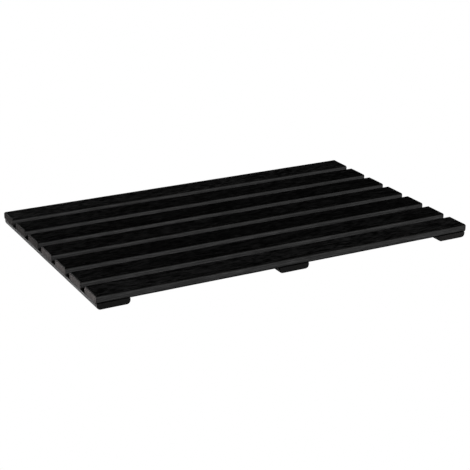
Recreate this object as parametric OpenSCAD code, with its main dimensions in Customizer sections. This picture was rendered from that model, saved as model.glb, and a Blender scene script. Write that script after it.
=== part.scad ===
// Slatted wooden door and bath mat: seven slats screwed from below to three cross battens,
// which stand on rubber pads. Millimetres. The origin is on the floor under the mat's centre,
// X runs along the slats, Y across them from front to back, and Z is up.

/* [Mat] */
// Length of the mat, along the slats
mat_length = 804; // [600:1:1000]
// Width of the mat, across the slats
mat_width = 496; // [450:1:600]

/* [Slats] */
// Width of one slat
slat_width = 55.5; // [45:0.5:60]
// Thickness of one slat
slat_thickness = 15.5; // [13:0.5:20]
// Rounding along the slat's four long edges
slat_edge_r = 4; // [0.5:0.5:5]
// Rounding along the top and bottom edges of the slat's ends
slat_end_r = 3; // [0.5:0.5:4]
// Rounding of the slat's corners, seen from above
slat_corner_r = 3; // [1:0.5:8]

/* [Battens] */
// Width of one batten
batten_width = 65; // [50:1:90]
// Thickness of one batten
batten_thickness = 12; // [11:0.5:14]
// Rounding along the batten's lower long edges
batten_lower_r = 8; // [1:0.5:9]
// Distance from the slats' ends to the outer side of the left and right battens
batten_side_inset = 1.5; // [0:0.5:60]
// Distance from the mat's front and back edges to the battens' ends
batten_end_inset = 1.5; // [0:0.5:10]

/* [Screws] */
// Length of a screw, head included
screw_length = 20; // [19:0.5:22]
// Diameter of the countersunk head
screw_head_d = 7; // [6:0.1:8]
// Diameter over the thread
screw_thread_d = 3.5; // [3:0.1:4]
// Distance from the middle of a crossing to each of its two screws, along the batten
screw_offset_y = 14; // [12:0.5:16]
// The same distance across the batten
screw_offset_x = 18; // [16:0.5:20]

/* [Pads] */
// Diameter of a rubber pad
pad_d = 20; // [14:0.5:22]
// Thickness of a rubber pad
pad_thickness = 2.5; // [2:0.25:4]
// Depth of the recess that a pad is glued into
pad_recess = 1; // [0.5:0.25:1.5]

/* [Hidden] */
// Smoothness of round shapes
$fn = 48;
slat_count = 7;
SLATS = [for (i = [1 : slat_count]) str("slat_", i)];
SIDES = ["left", "middle", "right"];
ENDS = ["front", "middle", "back"];

// Heights above the floor
batten_z = pad_thickness - pad_recess;
slat_z = batten_z + batten_thickness;

// Places of the slats' and battens' centrelines
slat_pitch = (mat_width - slat_width) / (slat_count - 1);
slat_y = [for (i = [0 : slat_count - 1]) -mat_width / 2 + slat_width / 2 + i * slat_pitch];
batten_x = (mat_length / 2 - batten_side_inset - batten_width / 2) * [-1, 0, 1];
batten_length = mat_width - 2 * batten_end_inset;
pad_y = [slat_y[0], slat_y[3], slat_y[slat_count - 1]];
// The two screws of a crossing stand on a diagonal, one each side of the pad's place
screw_xy = [[-screw_offset_x, -screw_offset_y], [screw_offset_x, screw_offset_y]];

// Small roundings and clearances
batten_upper_r = 1;
batten_end_r = 2;
batten_corner_r = 1.5;
clearance = 0.05;
overcut = 1;

// Screw proportions
screw_rim = 0.4;
screw_sink = 0.2;
screw_root_d = 0.66 * screw_thread_d;
screw_shank_d = 0.94 * screw_thread_d;
screw_pitch = 1.6;
screw_smooth = 7.6;
screw_tip = 3.2;
recess_depth = 1.6;
recess_span = 0.56 * screw_head_d;
recess_width = 0.9;

// Pad proportions
pad_edge_r = 0.5;
groove_depth = 0.4;
groove_width = 1;

wood = [0.075, 0.070, 0.068];
steel = [0.62, 0.63, 0.65];
rubber = [0.12, 0.12, 0.13];

// Rectangle on the origin's centre with four equal round corners
module rounded_rect(size, r) {
  for (sx = [-1, 1], sy = [-1, 1])
    translate([sx * (size[0] / 2 - r), sy * (size[1] / 2 - r)]) circle(r);
  square([size[0] - 2 * r, size[1]], center = true);
  square([size[0], size[1] - 2 * r], center = true);
}

// Rectangle standing on the X axis, with its own radius at the lower and at the upper corners
module batten_section(size, lower_r, upper_r) {
  for (side = [-1, 1]) {
    translate([side * (size[0] / 2 - lower_r), lower_r]) circle(lower_r);
    translate([side * (size[0] / 2 - upper_r), size[1] - upper_r]) circle(upper_r);
  }
  translate([-size[0] / 2, lower_r]) square([size[0], size[1] - lower_r - upper_r]);
  translate([-size[0] / 2 + lower_r, 0]) square([size[0] - 2 * lower_r, lower_r]);
  translate([-size[0] / 2 + upper_r, size[1] - upper_r]) square([size[0] - 2 * upper_r, upper_r]);
}

// Solid of revolution of one wood screw, standing on its head, with ridges for the thread
module screw() {
  head_r = screw_head_d / 2;
  root_r = screw_root_d / 2;
  shank_r = screw_shank_d / 2;
  crest_r = screw_thread_d / 2;
  thread_end = screw_length - screw_tip;
  ridges = floor((thread_end - screw_smooth) / screw_pitch);
  thread = [for (i = [0 : ridges - 1], step = [[root_r, 0.1], [crest_r, 0.45], [crest_r, 0.55], [root_r, 0.9]])
    [step[0], screw_smooth + (i + step[1]) * screw_pitch]];
  outline = concat(
    [[0, 0], [head_r, 0], [head_r, screw_rim], [shank_r, screw_rim + head_r - shank_r], [shank_r, screw_smooth]],
    thread,
    [[root_r, thread_end], [0, screw_length]]
  );
  difference() {
    rotate_extrude() polygon(outline);
    for (turn = [0, 90])
      rotate(turn) translate([0, 0, (recess_depth - overcut) / 2])
        cube([recess_span, recess_width, recess_depth + overcut], center = true);
    translate([0, 0, -overcut]) cylinder(h = recess_depth + overcut, r = recess_width);
  }
}

// Hole that one screw passes through: a countersink that its head seats in, and a clearance bore
module batten_screw_hole() {
  head_r = screw_head_d / 2 + clearance;
  bore_r = screw_thread_d / 2 + clearance;
  seat_z = screw_sink + screw_rim - clearance;
  translate([0, 0, -overcut]) {
    cylinder(h = overcut + seat_z, r = head_r);
    cylinder(h = batten_thickness + 2 * overcut, r = bore_r);
  }
  translate([0, 0, seat_z]) cylinder(h = head_r - bore_r, r1 = head_r, r2 = bore_r);
}

// Blind hole that the screw's thread bites into, in the slat
module slat_screw_hole() {
  depth = screw_length + screw_sink - batten_thickness;
  bore_r = screw_thread_d / 2 + clearance;
  straight = depth - screw_tip;
  translate([0, 0, -overcut]) cylinder(h = straight + overcut, r = bore_r);
  translate([0, 0, straight]) cylinder(h = screw_tip + clearance, r1 = bore_r, r2 = clearance);
}

// One slat, lengthwise along X on the origin's centre, with every edge rounded
module slat_blank() {
  intersection() {
    rotate([90, 0, 90]) linear_extrude(mat_length + 2 * overcut, center = true)
      rounded_rect([slat_width, slat_thickness], slat_edge_r);
    rotate([90, 0, 0]) linear_extrude(slat_width + 2 * overcut, center = true)
      rounded_rect([mat_length, slat_thickness], slat_end_r);
    linear_extrude(slat_thickness + 2 * overcut, center = true)
      rounded_rect([mat_length, slat_width], slat_corner_r);
  }
}

module slat(index) {
  color(wood) translate([0, slat_y[index], slat_z]) difference() {
    translate([0, 0, slat_thickness / 2]) slat_blank();
    for (x = batten_x, at = screw_xy) translate([x + at[0], at[1], 0]) slat_screw_hole();
  }
}

// One batten, lengthwise along Y with its lower face on Z = 0
module batten_blank() {
  intersection() {
    rotate([90, 0, 0]) linear_extrude(batten_length + 2 * overcut, center = true)
      batten_section([batten_width, batten_thickness], batten_lower_r, batten_upper_r);
    translate([0, 0, batten_thickness / 2]) rotate([90, 0, 90])
      linear_extrude(batten_width + 2 * overcut, center = true)
        rounded_rect([batten_length, batten_thickness], batten_end_r);
    translate([0, 0, -overcut]) linear_extrude(batten_thickness + 2 * overcut)
      rounded_rect([batten_width, batten_length], batten_corner_r);
  }
}

module batten(x) {
  color(wood) translate([x, 0, batten_z]) difference() {
    batten_blank();
    for (y = slat_y, at = screw_xy) translate([at[0], y + at[1], 0]) batten_screw_hole();
    for (y = pad_y) translate([0, y, -overcut])
      cylinder(h = pad_recess + overcut, r = pad_d / 2 + clearance);
  }
}

// The two screws of each crossing along one batten
module screws(x) {
  color(steel) for (y = slat_y, at = screw_xy)
    translate([x + at[0], y + at[1], batten_z + screw_sink]) screw();
}

// Round rubber pad with a soft lower edge and one ring groove in the face it stands on
module pad(x, y) {
  r = pad_d / 2;
  groove_r = 0.6 * r;
  color(rubber) translate([x, y, 0]) difference() {
    rotate_extrude() {
      translate([0, pad_edge_r]) square([r, pad_thickness - pad_edge_r]);
      square([r - pad_edge_r, pad_edge_r]);
      translate([r - pad_edge_r, pad_edge_r]) circle(pad_edge_r);
    }
    rotate_extrude() translate([groove_r, -overcut]) square([groove_width, overcut + groove_depth]);
  }
}

for (i = [0 : slat_count - 1])
  slat(i);

for (i = [0 : 2]) {
  batten(batten_x[i]);
  screws(batten_x[i]);
  for (j = [0 : 2])
    pad(batten_x[i], pad_y[j]);
}
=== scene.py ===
"""Looks of a slatted wooden door mat: black stained slats on battens, their screws and rubber pads.

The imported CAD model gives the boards' places and sizes, in metres. The meshes are worked out in
millimetres. Slats run along X, battens along Y, and Z = 0 is the floor.
"""

import math

import bpy
import numpy as np
from mathutils import Matrix, Vector


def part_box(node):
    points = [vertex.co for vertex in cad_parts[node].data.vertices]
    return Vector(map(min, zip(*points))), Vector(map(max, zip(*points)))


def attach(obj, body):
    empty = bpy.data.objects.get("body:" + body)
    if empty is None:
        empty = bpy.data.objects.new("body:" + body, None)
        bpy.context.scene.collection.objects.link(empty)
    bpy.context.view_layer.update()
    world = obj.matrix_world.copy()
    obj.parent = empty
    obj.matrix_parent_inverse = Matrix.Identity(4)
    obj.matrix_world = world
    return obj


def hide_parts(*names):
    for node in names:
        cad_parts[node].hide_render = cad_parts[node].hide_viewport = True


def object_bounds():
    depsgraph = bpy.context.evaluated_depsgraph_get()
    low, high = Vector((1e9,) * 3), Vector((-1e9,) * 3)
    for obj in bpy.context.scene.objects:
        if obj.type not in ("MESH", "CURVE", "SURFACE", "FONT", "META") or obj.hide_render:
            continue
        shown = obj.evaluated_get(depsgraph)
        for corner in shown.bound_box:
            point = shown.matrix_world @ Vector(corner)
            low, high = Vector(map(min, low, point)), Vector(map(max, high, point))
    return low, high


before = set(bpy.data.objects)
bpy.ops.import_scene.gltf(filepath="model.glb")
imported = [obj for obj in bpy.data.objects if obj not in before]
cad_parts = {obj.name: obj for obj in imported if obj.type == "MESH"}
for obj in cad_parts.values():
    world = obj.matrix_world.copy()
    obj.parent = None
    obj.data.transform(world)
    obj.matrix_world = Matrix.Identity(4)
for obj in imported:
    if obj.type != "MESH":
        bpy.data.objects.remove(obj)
cad_low, cad_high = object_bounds()

MM = 0.001
BODY = "root"
SIDES = ("left", "middle", "right")
ENDS = ("front", "middle", "back")
SLATS = [f"slat_{number}" for number in range(1, 8)]
PAD_SLATS = (SLATS[0], SLATS[3], SLATS[6])

# Roundings of the boards, as in the CAD model
SLAT_EDGE_MM = 4.0
SLAT_END_MM = 3.0
SLAT_CORNER_MM = 3.0
BATTEN_TOP_MM = 1.0
BATTEN_END_MM = 2.0
BATTEN_LOWER_MM = 8.0
BATTEN_CORNER_MM = 1.5

# Growth rings and brushed relief of the boards
RING_MM = 3.1
SLAT_RELIEF_MM = 0.09
BATTEN_RELIEF_MM = 0.07

# Where the random draws start: the slats', the battens' and the screws'
SLAT_SEED = 11
BATTEN_SEED = 31
SCREW_SEED = 71

# Sharpest angle that still looks smooth, in degrees
SMOOTH_ANGLE = 38
PAD_SMOOTH_ANGLE = 50

# Painted shade and painted lighting in the stained wood's colour, next to a slat's long side: on each slat's
# walking face and ends, from front to back, and on the battens' flat faces, sides and ends, from left to
# right.
# The ends are partly their own lighter or darker end grain, the rest painted lighting or shade.
SLAT_TOP_PAINTED_SHADE = (0.11, 0.055, 0.035, 0.055, 0.035, 0.06, 0.15)
SLAT_END_PAINTED_LIGHT = (2.1, 1.95, 1.65, 1.45, 0.8, 0.61, 0.49)
BATTEN_FACE_PAINTED_SHADE = 0.1
BATTEN_SIDE_PAINTED_LIGHT = (2.75, 0.3, 0.4)
BATTEN_END_PAINTED_SHADE = (0.05, 0.08, 0.30)

# How steeply a lower edge must face down before it takes the painted shade of the flat faces
SLAT_LOW_EDGE_SHADE = (0.0, 0.4)
BATTEN_LOW_EDGE_SHADE = (0.15, 0.75)

# Screws: two to a crossing, on a diagonal, heads down
SCREW_OFFSETS_MM = ((-18.0, -14.0), (18.0, 14.0))
SCREW_LENGTH_MM = 20.0
SCREW_SINK_MM = 0.2
HEAD_R_MM = 3.5
HEAD_RIM_MM = 0.4
SHANK_R_MM = 1.65
THREAD_R_MM = 1.75
ROOT_R_MM = 1.16
THREAD_PITCH_MM = 1.6
THREAD_START_MM = 7.6
TIP_MM = 3.2
HOLE_CLEARANCE_MM = 0.05

# Pads, seated in shallow recesses
PAD_RECESS_MM = 1.0
PAD_R_MM = 10.0
PAD_MM = 2.5


# ---------------------------------------------------------------- frame helpers

def centre(node):
    """Middle of a CAD node's box."""
    low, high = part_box(node)
    return (Vector(low) + Vector(high)) / 2


def size_mm(node):
    """Length of a CAD node's box along X, Y and Z."""
    low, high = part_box(node)
    return (Vector(high) - Vector(low)) / MM


def new_object(name, vertices, faces):
    """Mesh object with smooth faces, from arrays in millimetres."""
    mesh = bpy.data.meshes.new(name)
    mesh.from_pydata((np.asarray(vertices) * MM).tolist(), [], faces)
    mesh.polygons.foreach_set("use_smooth", [True] * len(mesh.polygons))
    mesh.update()
    piece = bpy.data.objects.new(name, mesh)
    bpy.context.scene.collection.objects.link(piece)
    return piece


def cut(piece, cutter):
    """Takes one solid away from another and keeps hard edges where they meet."""
    modifier = piece.modifiers.new("cut", "BOOLEAN")
    modifier.object = cutter
    modifier.operation = "DIFFERENCE"
    modifier.solver = "EXACT"
    with bpy.context.temp_override(object=piece, active_object=piece):
        bpy.ops.object.modifier_apply(modifier="cut")
    bpy.data.objects.remove(cutter)
    piece.data.set_sharp_from_angle(angle=math.radians(SMOOTH_ANGLE))


def spin(turn):
    """Matrix that turns points about Z."""
    return np.array([[math.cos(turn), -math.sin(turn)], [math.sin(turn), math.cos(turn)]])


def turned(outline, segments=32, shape=None):
    """Solid of revolution from (radius, height) steps, both ends on the axis."""
    angles = np.linspace(0, 2 * math.pi, segments, endpoint=False)
    points = [(0, 0, outline[0][1])]
    for radius, height in outline[1:-1]:
        radii = radius if shape is None else shape(radius, height, angles)
        ring = np.stack([radii * np.cos(angles), radii * np.sin(angles), np.full(segments, height)], axis=-1)
        points.extend(ring.tolist())
    points.append((0, 0, outline[-1][1]))
    faces = []
    last = len(points) - 1
    for k in range(segments):
        n = (k + 1) % segments
        faces.append((0, 1 + n, 1 + k))
        for ring in range(len(outline) - 3):
            low, high = 1 + ring * segments, 1 + (ring + 1) * segments
            faces.append((low + k, low + n, high + n, high + k))
        faces.append((last - segments + k, last - segments + n, last))
    return np.array(points, dtype=float), faces


def joined(parts):
    """One mesh from several lists of points and faces."""
    points, faces, start = [], [], 0
    for part_points, part_faces in parts:
        points.append(part_points)
        faces.extend(tuple(v + start for v in face) for face in part_faces)
        start += len(part_points)
    return np.concatenate(points), faces


def put_in_frame(piece, node):
    """Lets a finished piece stand for its CAD node."""
    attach(piece, BODY)
    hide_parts(node)


# ---------------------------------------------------------------- boards

def grid_lines(half, zone, step, shares):
    """Lines across one direction of a board: a fixed place each, and a share of the edge zone."""
    inner = half - zone
    count = max(2, round(2 * inner / step))
    straight = np.linspace(-inner, inner, count + 1)
    # One more line close to each edge zone keeps the flat face evenly shaded
    near_edge = inner - min(1.0, step / 2)
    straight = np.unique(np.round(np.append(straight, [-near_edge, near_edge]), 6))
    base = np.concatenate([[-inner] * len(shares), straight, [inner] * len(shares)])
    share = np.concatenate([-shares[::-1], np.zeros(len(straight)), shares])
    return base, share


def rounding(height, thickness, top_r, low_r):
    """How far an edge with round corners lies inside its outline, at a height."""
    inset = 0.0
    if height < low_r:
        inset = low_r - math.sqrt(max(0.0, low_r ** 2 - (low_r - height) ** 2))
    above = height - (thickness - top_r)
    if above > 0:
        inset = max(inset, top_r - math.sqrt(max(0.0, top_r ** 2 - above ** 2)))
    return inset


def board_heights(thickness, top_r, low_r, wall_step, turns):
    """Heights of a board's rings, from its lower to its upper face."""
    lower = [low_r * (1 - math.cos(math.pi / 2 * k / turns)) for k in range(turns + 1)]
    upper = [thickness - top_r * (1 - math.sin(math.pi / 2 * k / turns)) for k in range(turns + 1)]
    walls = max(2, round((upper[0] - lower[-1]) / wall_step))
    middle = np.linspace(lower[-1], upper[0], walls + 1)[1:-1]
    return [*lower, *middle, *upper]


def board_mesh(size, zone, corner_r, top_radii, low_radii, steps):
    """Points and quads of a board that lies along its first axis on Z = 0, in millimetres.

    The radii are those of its long edges and of its ends' edges.
    """
    length, width, thickness = size
    # Grid lines crowd together towards the outline
    shares = 1 - (1 - np.linspace(0, 1, 7)[1:]) ** 1.4
    base_u, share_u = grid_lines(length / 2, zone, steps[0], shares)
    base_v, share_v = grid_lines(width / 2, zone, steps[1], shares)
    nu, nv = len(base_u), len(base_v)

    def layer(height):
        reach = (
            zone - rounding(height, thickness, top_radii[1], low_radii[1]),
            zone - rounding(height, thickness, top_radii[0], low_radii[0]),
        )
        r = min(corner_r, *reach)
        du = np.abs(share_u)[:, None] * reach[0] + np.zeros((1, nv))
        dv = np.abs(share_v)[None, :] * reach[1] + np.zeros((nu, 1))
        # The square corner of the grid is drawn in to a quarter circle
        over_u = np.maximum(du - (reach[0] - r), 0)
        over_v = np.maximum(dv - (reach[1] - r), 0)
        both = np.hypot(over_u, over_v)
        pull = np.where(both > 0, np.maximum(over_u, over_v) / np.maximum(both, 1e-9), 1)
        du = np.minimum(du, reach[0] - r) + over_u * pull
        dv = np.minimum(dv, reach[1] - r) + over_v * pull
        u = base_u[:, None] + np.sign(share_u)[:, None] * du
        v = base_v[None, :] + np.sign(share_v)[None, :] * dv
        return np.stack([u, v, np.full_like(u, height)], axis=-1)

    rim = [(i, 0) for i in range(nu - 1)] + [(nu - 1, j) for j in range(nv - 1)]
    rim += [(i, nv - 1) for i in range(nu - 1, 0, -1)] + [(0, j) for j in range(nv - 1, 0, -1)]
    heights = board_heights(thickness, max(top_radii), max(low_radii), steps[2], steps[3])
    bottom, top = layer(heights[0]), layer(heights[-1])
    points = [bottom.reshape(-1, 3), top.reshape(-1, 3)]
    top_start = nu * nv
    rings = [[i * nv + j for i, j in rim]]
    start = 2 * nu * nv
    for height in heights[1:-1]:
        flat = layer(height)
        points.append(np.array([flat[i, j] for i, j in rim]))
        rings.append(list(range(start, start + len(rim))))
        start += len(rim)
    rings.append([top_start + i * nv + j for i, j in rim])

    faces = []
    for i in range(nu - 1):
        for j in range(nv - 1):
            a, b, c, d = i * nv + j, (i + 1) * nv + j, (i + 1) * nv + j + 1, i * nv + j + 1
            faces.append((a, d, c, b))
            faces.append((top_start + a, top_start + b, top_start + c, top_start + d))
    for low, high in zip(rings, rings[1:]):
        for k in range(len(rim)):
            n = (k + 1) % len(rim)
            faces.append((low[k], low[n], high[n], high[k]))
    return np.concatenate(points), faces


def waves(points, wavelengths, rng, count=6):
    """Smooth wandering value between about -1 and 1: a sum of sines in random directions."""
    value = np.zeros(len(points))
    for _ in range(count):
        direction = rng.normal(size=3)
        direction /= np.linalg.norm(direction)
        turns = points / np.array(wavelengths) @ direction
        value += np.sin(2 * math.pi * turns * rng.uniform(0.6, 1.6) + rng.uniform(0, 2 * math.pi))
    return value / math.sqrt(count)


def growth_rings(points, rng):
    """Distance of each point of a board from the wandering heart of its log, in millimetres."""
    along = points * [1, 0, 0]
    heart_y = rng.uniform(-16, 16) + 7 * waves(along, (520, 1, 1), rng)
    heart_z = rng.choice([-1, 1]) * rng.uniform(26, 60) + 5 * waves(along, (430, 1, 1), rng)
    rings = np.hypot(points[:, 1] - heart_y, points[:, 2] - heart_z)
    return rings + 0.7 * waves(points, (190, 24, 24), rng)


def add_attribute(mesh, name, values):
    """Stores a number or a vector on each point."""
    values = np.asarray(values, dtype=np.float32)
    kind, field = ("FLOAT", "value") if values.ndim == 1 else ("FLOAT_VECTOR", "vector")
    mesh.attributes.new(name, kind, "POINT").data.foreach_set(field, values.ravel())


def smoothstep(low, high, value):
    """Soft step from 0 at one value to 1 at another."""
    t = np.clip((value - low) / (high - low), 0, 1)
    return t * t * (3 - 2 * t)


def wood_fields(points, normals, rng, painted_shading, low_edge_shade):
    """What the wood material reads on each point of a board."""
    painted_top_shade, painted_side_light, painted_end_light = painted_shading
    up = normals[:, 2]
    # Faces that look up, or down past the lower edge's limit, take the painted shade of the flat faces
    flat = np.maximum(smoothstep(0.25, 0.8, up), smoothstep(*low_edge_shade, -up))
    end = smoothstep(0.55, 0.95, np.abs(normals[:, 0]))
    # Painted shade and painted lighting: flat faces take the top's tone, ends the end's tone, the rest the
    # side's
    painted_light = painted_side_light + (painted_top_shade - painted_side_light) * flat
    rings = growth_rings(points, rng)
    return {
        "grain": points + rng.uniform(-500, 500, size=3),
        "rings": rings,
        "end": end,
        "flat": flat,
        "edge": np.clip((1 - np.abs(normals).max(axis=1)) / 0.29, 0, 1),
        "painted_light": painted_light + (painted_end_light - painted_light) * end,
    }


def carve_grain(points, normals, fields, relief_mm, rng):
    """Board's points sunk by a brushed relief of its rings, soft worn edges and a slight warp."""
    phase = np.mod(fields["rings"] / RING_MM, 1)
    late = smoothstep(0.35, 0.85, phase) * (1 - smoothstep(0.92, 1.0, phase))
    wear = 0.5 + 0.5 * waves(points, (60, 40, 40), rng)
    dip = relief_mm * (1 - late) * (1 - 0.4 * fields["end"])
    dip += 0.10 * np.clip(wear, 0, 1.4) * fields["edge"]
    dip += 0.05 * (1 + waves(points, (260, 60, 60), rng)).clip(0)
    return points - normals * dip[:, None]


def make_board(node, mesh, holes, seed, relief_mm, painted_shading, low_edge_shade, along_y):
    """Grained board with its drilled holes, at its CAD node's place."""
    board, board_faces = mesh
    drill, drill_faces = joined(holes)
    shell = new_object(f"{node}_board", board, board_faces)
    normals = np.zeros(len(board) * 3, dtype=np.float32)
    shell.data.vertices.foreach_get("normal", normals)
    normals = np.concatenate([normals.reshape(-1, 3), np.zeros((len(drill), 3))]).astype(float)
    rng = np.random.default_rng(seed)
    fields = wood_fields(np.concatenate([board, drill]), normals, rng, painted_shading, low_edge_shade)
    board_fields = {name: values[: len(board)] for name, values in fields.items()}
    moved = carve_grain(board, normals[: len(board)], board_fields, relief_mm, rng)
    cutter = new_object(f"{node}_drill", drill, drill_faces)
    board_part = slice(0, len(board))
    drill_part = slice(len(board), None)
    for item, points, part in ((shell, moved, board_part), (cutter, drill, drill_part)):
        for name, values in fields.items():
            add_attribute(item.data, name, values[part])
        place_points(item, points, along_y, node)
        item.data.materials.append(wood_material())
    cut(shell, cutter)
    put_in_frame(shell, node)


def place_points(item, points, along_y, node):
    """Writes points in a board's own axes at that board's place, turned along Y if asked."""
    low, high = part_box(node)
    if along_y:
        points = np.stack([-points[:, 1], points[:, 0], points[:, 2]], axis=-1)
    placed = points * MM + np.array([(low.x + high.x) / 2, (low.y + high.y) / 2, low.z])
    item.data.vertices.foreach_set("co", placed.ravel())
    item.data.update()


def drilled(outline, at):
    """Cutter for one round hole, at a place in a board's own axes."""
    points, faces = turned(outline)
    return points + [at[0], at[1], 0], faces


def slat_holes(node):
    """Six pilot holes, two over each batten, cut upwards into the slat."""
    depth = SCREW_LENGTH_MM + SCREW_SINK_MM - size_mm("batten_left").z
    radius = THREAD_R_MM + HOLE_CLEARANCE_MM
    outline = [(0, -1), (radius, -1), (radius, depth - TIP_MM), (0.1, depth + HOLE_CLEARANCE_MM)]
    outline.append((0, depth + HOLE_CLEARANCE_MM))
    middles = [(centre(f"batten_{side}").x - centre(node).x) / MM for side in SIDES]
    return [drilled(outline, (x + dx, dy)) for x in middles for dx, dy in SCREW_OFFSETS_MM]


def batten_holes(node):
    """Countersunk screw holes under every slat, and a shallow recess for each pad."""
    head = HEAD_R_MM + HOLE_CLEARANCE_MM
    bore = THREAD_R_MM + HOLE_CLEARANCE_MM
    seat = SCREW_SINK_MM + HEAD_RIM_MM - HOLE_CLEARANCE_MM
    through = size_mm(node).z + 1
    seat_top = seat + head - bore
    screw_outline = [(0, -1), (head, -1), (head, seat), (bore, seat_top), (bore, through), (0, through)]
    pad = PAD_R_MM + HOLE_CLEARANCE_MM
    pad_outline = [(0, -1), (pad, -1), (pad, PAD_RECESS_MM), (0, PAD_RECESS_MM)]
    slats_y = [(centre(slat).y - centre(node).y) / MM for slat in SLATS]
    holes = [drilled(screw_outline, (y + dy, -dx)) for y in slats_y for dx, dy in SCREW_OFFSETS_MM]
    pads_y = [(centre(slat).y - centre(node).y) / MM for slat in PAD_SLATS]
    return holes + [drilled(pad_outline, (y, 0)) for y in pads_y]


def make_slat(number):
    """Slat by its number, counted from the front."""
    node = SLATS[number]
    mesh = board_mesh(
        size_mm(node), SLAT_EDGE_MM, SLAT_CORNER_MM, (SLAT_EDGE_MM, SLAT_END_MM),
        (SLAT_EDGE_MM, SLAT_END_MM), (5, 0.8, 1.2, 5)
    )
    # Painted shade on the walking face; the ends partly lighter end grain, partly painted lighting
    painted_shading = (SLAT_TOP_PAINTED_SHADE[number], 1.0, SLAT_END_PAINTED_LIGHT[number])
    seed = SLAT_SEED + number
    make_board(node, mesh, slat_holes(node), seed, SLAT_RELIEF_MM, painted_shading, SLAT_LOW_EDGE_SHADE, False)


def make_batten(number):
    """Batten by its number, counted from the left."""
    node = f"batten_{SIDES[number]}"
    width, length, thickness = size_mm(node)
    mesh = board_mesh(
        (length, width, thickness), BATTEN_LOWER_MM, BATTEN_CORNER_MM, (BATTEN_TOP_MM, BATTEN_TOP_MM),
        (BATTEN_LOWER_MM, BATTEN_END_MM), (5, 0.9, 1.2, 8)
    )
    # Painted shade on the flat faces, painted lighting or shade on the sides, and painted shade on partly
    # darker end grain at the ends
    painted_shading = (BATTEN_FACE_PAINTED_SHADE, BATTEN_SIDE_PAINTED_LIGHT[number], BATTEN_END_PAINTED_SHADE[number])
    seed = BATTEN_SEED + number
    make_board(node, mesh, batten_holes(node), seed, BATTEN_RELIEF_MM, painted_shading, BATTEN_LOW_EDGE_SHADE, True)


# ---------------------------------------------------------------- screws and pads

def thread(radius, height, angles):
    """Radius round a screw: a ridge winds up it between its smooth neck and its tip."""
    run = SCREW_LENGTH_MM - height
    if height <= THREAD_START_MM or radius > ROOT_R_MM + 0.01:
        return np.full(len(angles), radius)
    phase = np.mod(height / THREAD_PITCH_MM - angles / (2 * math.pi), 1)
    ridge = np.clip(1.25 * (1 - np.abs(phase - 0.5) / 0.34), 0, 1)
    fade = smoothstep(THREAD_START_MM, THREAD_START_MM + 1.0, height) * smoothstep(0.3, 2.2, run)
    return radius + (THREAD_R_MM - ROOT_R_MM) * ridge * fade


def screw_mesh():
    """Points and faces of one countersunk cross-head wood screw, standing on its head."""
    neck = HEAD_RIM_MM + HEAD_R_MM - SHANK_R_MM
    outline = [(0, 0), (1.8, 0), (HEAD_R_MM - 0.12, 0), (HEAD_R_MM, 0.1), (HEAD_R_MM, HEAD_RIM_MM)]
    outline += [(SHANK_R_MM, neck), (SHANK_R_MM, neck + 1), (SHANK_R_MM, THREAD_START_MM - 0.4)]
    for height in np.arange(THREAD_START_MM, SCREW_LENGTH_MM - 0.1, THREAD_PITCH_MM / 9):
        taper = min(1.0, (SCREW_LENGTH_MM - height) / TIP_MM)
        outline.append((ROOT_R_MM * taper, height))
    outline.append((0, SCREW_LENGTH_MM))
    blank = new_object("screw_blank", *turned(outline, 28, thread))
    for turn in (0, 90):
        cut(blank, cross_cutter(math.radians(turn)))
    cut(blank, new_object("socket", *turned([(0, -1), (1.25, -1), (0.85, 1.2), (0, 1.9)], 24)))
    points = np.array([v.co for v in blank.data.vertices]) / MM
    faces = [tuple(p.vertices) for p in blank.data.polygons]
    bpy.data.objects.remove(blank)
    return points, faces


def cross_cutter(turn):
    """One wing pair of a cross recess: a bar that narrows with depth."""
    mouth = np.array([(-2.25, -0.48), (2.25, -0.48), (2.25, 0.48), (-2.25, 0.48)])
    low = mouth * [1.2, 1.1]
    high = mouth * [0.42, 0.6]
    points = np.array([(x, y, -0.6) for x, y in low] + [(x, y, 1.6) for x, y in high])
    points[:, :2] = points[:, :2] @ spin(turn).T
    faces = [(0, 3, 2, 1), (4, 5, 6, 7)]
    faces += [(k, (k + 1) % 4, (k + 1) % 4 + 4, k + 4) for k in range(4)]
    return new_object("cross", points, faces)


def make_screws(side, screw, rng):
    """A batten's 14 screws in one piece, each driven home at its own turn."""
    points, faces = screw
    batten = f"batten_{side}"
    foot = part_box(batten)[0].z / MM + SCREW_SINK_MM
    middle_x = centre(batten).x / MM
    parts = []
    for slat in SLATS:
        for dx, dy in SCREW_OFFSETS_MM:
            turned_points = points[:, :2] @ spin(rng.uniform(0, 2 * math.pi)).T
            spun = np.column_stack([turned_points, points[:, 2]])
            parts.append((spun + [middle_x + dx, centre(slat).y / MM + dy, foot], faces))
    piece = new_object(f"screws_{side}_set", *joined(parts))
    local = np.concatenate([points] * len(parts))
    add_attribute(piece.data, "spot", local)
    piece.data.set_sharp_from_angle(angle=math.radians(SMOOTH_ANGLE))
    piece.data.materials.append(zinc_material())
    put_in_frame(piece, f"screws_{side}")


def pad_outline():
    """Section of a moulded rubber pad, from the middle of its foot to the middle of its back."""
    outline = [(0, 0.14), (2.0, 0.12), (4.5, 0.05), (5.6, 0.0), (5.95, 0.0), (6.1, 0.12), (6.15, 0.38)]
    outline += [(6.5, 0.4), (6.85, 0.38), (6.9, 0.12), (7.05, 0.0), (8.2, 0.0), (9.4, 0.0)]
    for k in range(1, 7):
        turn = math.pi / 2 * k / 6
        outline.append((PAD_R_MM - 0.6 + 0.6 * math.sin(turn), 0.6 - 0.6 * math.cos(turn)))
    outline += [(PAD_R_MM, 1.3), (PAD_R_MM - 0.03, 1.5), (PAD_R_MM, 1.7), (PAD_R_MM, 2.3)]
    outline += [(PAD_R_MM - 0.2, PAD_MM), (5, PAD_MM), (0, PAD_MM)]
    return outline


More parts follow.
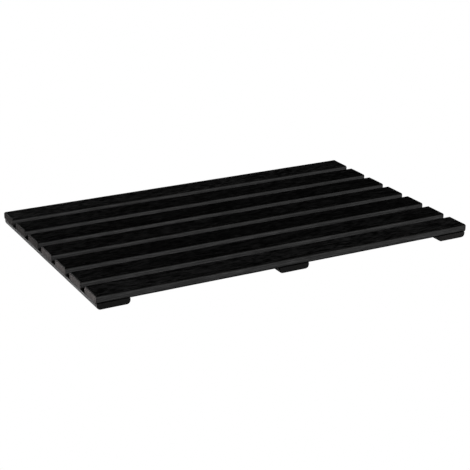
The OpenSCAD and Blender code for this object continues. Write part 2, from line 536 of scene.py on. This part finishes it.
def make_pad(node):
    """Rubber pad at its CAD node's place."""
    low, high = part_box(node)
    points, faces = turned(pad_outline(), 64)
    at = [centre(node).x / MM, centre(node).y / MM, low.z / MM]
    piece = new_object(f"{node}_rubber", points + at, faces)
    add_attribute(piece.data, "spot", points)
    piece.data.set_sharp_from_angle(angle=math.radians(PAD_SMOOTH_ANGLE))
    piece.data.materials.append(rubber_material())
    put_in_frame(piece, node)


# ---------------------------------------------------------------- materials

class Nodes:
    """Short ways to add and link shader nodes."""

    def __init__(self, name):
        self.material = bpy.data.materials.new(name)
        self.material.use_nodes = True
        self.tree = self.material.node_tree
        self.shader = self.tree.nodes["Principled BSDF"]

    def add(self, kind, inputs=None, **settings):
        """New node, with its settings made and its inputs set or linked."""
        node = self.tree.nodes.new(kind)
        for key, value in settings.items():
            setattr(node, key, value)
        for key, value in (inputs or {}).items():
            self.set(node.inputs[key], value)
        return node

    def set(self, socket, value):
        """Links a socket to another node's, or gives it a constant."""
        if isinstance(value, bpy.types.NodeSocket):
            self.tree.links.new(value, socket)
        else:
            socket.default_value = value

    def math(self, operation, *values, clamp=False):
        """Result of one sum, product or other operation."""
        node = self.add("ShaderNodeMath", operation=operation, use_clamp=clamp)
        for socket, value in zip(node.inputs, values):
            self.set(socket, value)
        return node.outputs[0]

    def attribute(self, name, output="Fac"):
        """Value that the mesh stores on its points."""
        return self.add("ShaderNodeAttribute", attribute_name=name).outputs[output]

    def scaled(self, vector, scale):
        """Vector or colour times a scale."""
        return self.add("ShaderNodeVectorMath", {0: vector, 1: scale}, operation="MULTIPLY").outputs[0]

    def noise(self, vector, scale, detail=3.0, roughness=0.55):
        """Noise with its own frequency along each axis, per millimetre."""
        return self.add(
            "ShaderNodeTexNoise",
            {"Vector": self.scaled(vector, scale), "Scale": 1.0, "Detail": detail, "Roughness": roughness},
        ).outputs["Fac"]

    def ramp(self, value, low, high, bottom=0.0, top=1.0):
        """Soft step from bottom to top while a value goes from low to high."""
        return self.add(
            "ShaderNodeMapRange",
            {"Value": value, "From Min": low, "From Max": high, "To Min": bottom, "To Max": top},
            interpolation_type="SMOOTHSTEP",
        ).outputs["Result"]

    def mix(self, share, first, second):
        """Two colours mixed. A Mix node's colour sockets follow those for numbers and vectors."""
        node = self.add("ShaderNodeMix", data_type="RGBA", blend_type="MIX")
        self.set(node.inputs[0], share)
        self.set(node.inputs[6], first)
        self.set(node.inputs[7], second)
        return node.outputs[2]

    def product(self, *values):
        """Several values multiplied."""
        result = values[0]
        for value in values[1:]:
            result = self.math("MULTIPLY", result, value)
        return result


def wood_material():
    """Black stained wood with open grain, with painted shade and lighting on each face: one material for
    every board.
    """
    if "black_stained_wood" in bpy.data.materials:
        return bpy.data.materials["black_stained_wood"]
    n = Nodes("black_stained_wood")
    grain = n.attribute("grain", "Vector")
    rings = n.attribute("rings")
    end = n.attribute("end")
    edge = n.attribute("edge")
    flat = n.attribute("flat")
    painted_light = n.attribute("painted_light")

    fibre = n.noise(grain, (0.030, 1.5, 1.5), 4.0, 0.62)
    streak = n.noise(grain, (0.006, 0.20, 0.20), 3.0)
    dash = n.noise(grain, (0.055, 0.42, 0.4), 2.0, 0.6)
    blotch = n.noise(grain, (0.012, 0.035, 0.035), 2.0)
    pores = n.ramp(n.noise(grain, (0.11, 2.6, 2.6), 2.0), 0.60, 0.70)
    ring_phase = n.math("FRACT", n.math("DIVIDE", rings, RING_MM))
    late = n.product(n.ramp(ring_phase, 0.35, 0.85), n.ramp(ring_phase, 0.92, 1.0, 1.0, 0.0))
    face = n.product(n.ramp(flat, 0.4, 1.0, 0.08, 1.0), n.ramp(edge, 0.0, 0.35, 1.0, 0.1))
    speck = n.product(n.ramp(dash, 0.40, 0.66, -0.95, 3.2), face)

    # Painted shade and painted lighting of each face, times the grain's streaks, blotches, fibres, specks,
    # late wood and pores
    value = n.product(
        painted_light,
        n.ramp(streak, 0.3, 0.7, 0.75, 1.28),
        n.ramp(blotch, 0.3, 0.7, 0.88, 1.14),
        n.ramp(fibre, 0.35, 0.75, 0.80, 1.60),
        n.math("ADD", 1.0, speck),
        n.ramp(late, 0.0, 1.0, 1.08, 0.66),
        n.ramp(pores, 0.0, 1.0, 1.0, 0.3),
    )
    tint = n.mix(end, (0.0235, 0.0235, 0.0237, 1), (0.0262, 0.0236, 0.0232, 1))
    rubbed = n.product(n.ramp(n.noise(grain, (0.04, 0.3, 0.3), 4.0), 0.45, 0.70), edge, 0.25)
    tint = n.mix(rubbed, tint, (0.033, 0.027, 0.023, 1))
    n.set(n.shader.inputs["Base Color"], n.scaled(tint, value))

    roughness = n.ramp(flat, 0.0, 1.0, 0.64, 0.36)
    roughness = n.math("ADD", roughness, n.ramp(streak, 0.3, 0.7, -0.04, 0.05))
    roughness = n.math("ADD", roughness, n.math("MULTIPLY", pores, 0.15))
    roughness = n.math("SUBTRACT", roughness, n.math("MULTIPLY", late, 0.06))
    n.set(n.shader.inputs["Roughness"], n.math("ADD", roughness, n.math("MULTIPLY", end, 0.12), clamp=True))
    gloss = n.math("ADD", 0.85, n.math("MULTIPLY", speck, 0.6))
    gloss = n.product(n.ramp(edge, 0.0, 0.35, 0.25, 0.06), gloss)
    n.set(n.shader.inputs["Specular IOR Level"], gloss)

    height = n.math("SUBTRACT", n.math("MULTIPLY", fibre, 0.5), pores)
    bump = n.add("ShaderNodeBump", {"Height": height, "Strength": 0.6, "Distance": 0.12 * MM})
    n.set(n.shader.inputs["Normal"], bump.outputs["Normal"])
    return n.material


def zinc_material():
    """Bright zinc plate with turning marks round the head, a little dulled."""
    if "zinc_plate" in bpy.data.materials:
        return bpy.data.materials["zinc_plate"]
    n = Nodes("zinc_plate")
    spot = n.attribute("spot", "Vector")
    parts = n.add("ShaderNodeSeparateXYZ", {"Vector": spot})
    squares = [n.math("POWER", parts.outputs[axis], 2.0) for axis in ("X", "Y")]
    radius = n.math("SQRT", n.math("ADD", *squares))
    lathe = n.add("ShaderNodeCombineXYZ", {"X": radius, "Y": parts.outputs["Z"]}).outputs[0]
    marks = n.noise(lathe, (9, 9, 9), 2.0)
    cloud = n.noise(spot, (0.6, 0.6, 0.6), 4.0, 0.6)
    colour = n.mix(n.ramp(cloud, 0.35, 0.7), (0.62, 0.63, 0.65, 1), (0.42, 0.42, 0.41, 1))
    colour = n.mix(n.ramp(marks, 0.55, 0.75, 0.0, 0.35), colour, (0.27, 0.27, 0.28, 1))
    n.set(n.shader.inputs["Base Color"], colour)
    n.shader.inputs["Metallic"].default_value = 1.0
    roughness = n.ramp(cloud, 0.3, 0.7, 0.26, 0.46)
    roughness = n.math("ADD", roughness, n.ramp(marks, 0.4, 0.7, 0.0, 0.1), clamp=True)
    n.set(n.shader.inputs["Roughness"], roughness)
    bump = n.add("ShaderNodeBump", {"Height": marks, "Strength": 0.4, "Distance": 0.03 * MM})
    n.set(n.shader.inputs["Normal"], bump.outputs["Normal"])
    return n.material


def rubber_material():
    """Matt black rubber, finely pebbled, with dust where it touches the floor."""
    if "black_rubber" in bpy.data.materials:
        return bpy.data.materials["black_rubber"]
    n = Nodes("black_rubber")
    spot = n.attribute("spot", "Vector")
    pebbles = n.noise(spot, (3.2, 3.2, 3.2), 3.0, 0.6)
    cloud = n.noise(spot, (0.25, 0.25, 0.25), 4.0, 0.6)
    foot = n.ramp(n.add("ShaderNodeSeparateXYZ", {"Vector": spot}).outputs["Z"], 0.0, 0.25, 1.0, 0.0)
    dust = n.product(foot, n.ramp(cloud, 0.42, 0.68), 0.6)
    colour = n.mix(n.ramp(cloud, 0.3, 0.7), (0.018, 0.018, 0.019, 1), (0.030, 0.030, 0.031, 1))
    n.set(n.shader.inputs["Base Color"], n.mix(dust, colour, (0.11, 0.10, 0.09, 1)))
    n.set(n.shader.inputs["Roughness"], n.ramp(pebbles, 0.3, 0.7, 0.68, 0.86))
    bump = n.add("ShaderNodeBump", {"Height": pebbles, "Strength": 0.6, "Distance": 0.08 * MM})
    n.set(n.shader.inputs["Normal"], bump.outputs["Normal"])
    return n.material


# ---------------------------------------------------------------- studio

CAMERA_AZIMUTH = 28.398
CAMERA_ELEVATION = 20.568
CAMERA_ROLL = 0.447
CAMERA_DISTANCE = 2.4868
CAMERA_LENS_MM = 97.01
CAMERA_AIM = (-0.04275, -0.08910)


def make_camera():
    """Long lens, standing in front of the mat and to its left."""
    azimuth, elevation, roll = map(math.radians, (CAMERA_AZIMUTH, CAMERA_ELEVATION, CAMERA_ROLL))
    level = math.cos(elevation)
    forward = Vector((math.sin(azimuth) * level, math.cos(azimuth) * level, -math.sin(elevation)))
    right = Vector((math.cos(azimuth), -math.sin(azimuth), 0))
    up = right.cross(forward)
    turned_right = math.cos(roll) * right + math.sin(roll) * up
    turned_up = math.cos(roll) * up - math.sin(roll) * right
    aim = Vector((*CAMERA_AIM, cad_high.z))
    place = Matrix((turned_right, turned_up, -forward)).transposed().to_4x4()
    place.translation = aim - forward * CAMERA_DISTANCE
    data = bpy.data.cameras.new("camera")
    data.lens = CAMERA_LENS_MM
    data.sensor_width = 36
    data.clip_end = 100
    camera = bpy.data.objects.new("camera", data)
    camera.matrix_world = place
    bpy.context.scene.collection.objects.link(camera)
    bpy.context.scene.camera = camera


def glow_material(name):
    """White that shows at one even brightness, whatever lamps shine on it."""
    n = Nodes(name)
    n.shader.inputs["Base Color"].default_value = (0, 0, 0, 1)
    n.shader.inputs["Specular IOR Level"].default_value = 0
    n.shader.inputs["Emission Color"].default_value = (1, 1, 1, 1)
    n.shader.inputs["Emission Strength"].default_value = 1.0
    return n.material


def make_stage():
    """White floor and backdrop that the camera sees and the mat neither reflects nor is lit by."""
    bpy.ops.mesh.primitive_circle_add(vertices=96, radius=16, fill_type="NGON", location=(0, 0, -0.0005))
    floor = bpy.context.object
    floor.name = "floor"
    bpy.ops.mesh.primitive_uv_sphere_add(segments=64, ring_count=32, radius=16)
    backdrop = bpy.context.object
    backdrop.name = "backdrop"
    for item in (floor, backdrop):
        item.data.materials.append(glow_material(f"{item.name}_white"))
        item.visible_diffuse = False
        item.visible_glossy = False
        item.visible_shadow = False


def softbox(name, azimuth, elevation, distance, size, power, mirrored=True):
    """Rectangular lamp that faces the mat. Azimuth 0 stands in front, 90 to the right.

    One that isn't mirrored lights the mat without showing as a glare in it.
    """
    azimuth, elevation = math.radians(azimuth), math.radians(elevation)
    level = math.cos(elevation)
    away = Vector((math.sin(azimuth) * level, -math.cos(azimuth) * level, math.sin(elevation)))
    data = bpy.data.lights.new(name, "AREA")
    data.shape = "RECTANGLE"
    data.size, data.size_y = size
    data.energy = power
    lamp = bpy.data.objects.new(name, data)
    lamp.location = away * distance
    lamp.rotation_mode = "QUATERNION"
    lamp.rotation_quaternion = away.to_track_quat("Z", "Y")
    lamp.visible_camera = False
    lamp.visible_glossy = mirrored
    bpy.context.scene.collection.objects.link(lamp)


def make_lights():
    """Softboxes in front and close on the left, and weaker ones that shape the far sides."""
    softbox("front_softbox", 14, 26, 3.0, (3.2, 0.7), 97)
    softbox("left_softbox", -104, 10, 1.5, (0.8, 0.4), 15, mirrored=False)
    softbox("low_left_softbox", -100, -35, 1.6, (0.8, 0.2), 11)
    softbox("right_softbox", 95, 12, 3.2, (1.6, 0.6), 20)
    softbox("back_softbox", 215, 24, 3.2, (2.4, 0.8), 26)
    world = bpy.data.worlds.new("studio_air")
    world.use_nodes = True
    world.node_tree.nodes["Background"].inputs["Color"].default_value = (1, 1, 1, 1)
    world.node_tree.nodes["Background"].inputs["Strength"].default_value = 0.004
    bpy.context.scene.world = world
    bpy.context.scene.view_settings.view_transform = "Standard"
    bpy.context.scene.view_settings.look = "None"


# ---------------------------------------------------------------- assembly

make_camera()
make_stage()
make_lights()
for number in range(len(SLATS)):
    make_slat(number)
screw = screw_mesh()
turns = np.random.default_rng(SCREW_SEED)
for number, side in enumerate(SIDES):
    make_batten(number)
    make_screws(side, screw, turns)
    for end in ENDS:
        make_pad(f"pad_{side}_{end}")
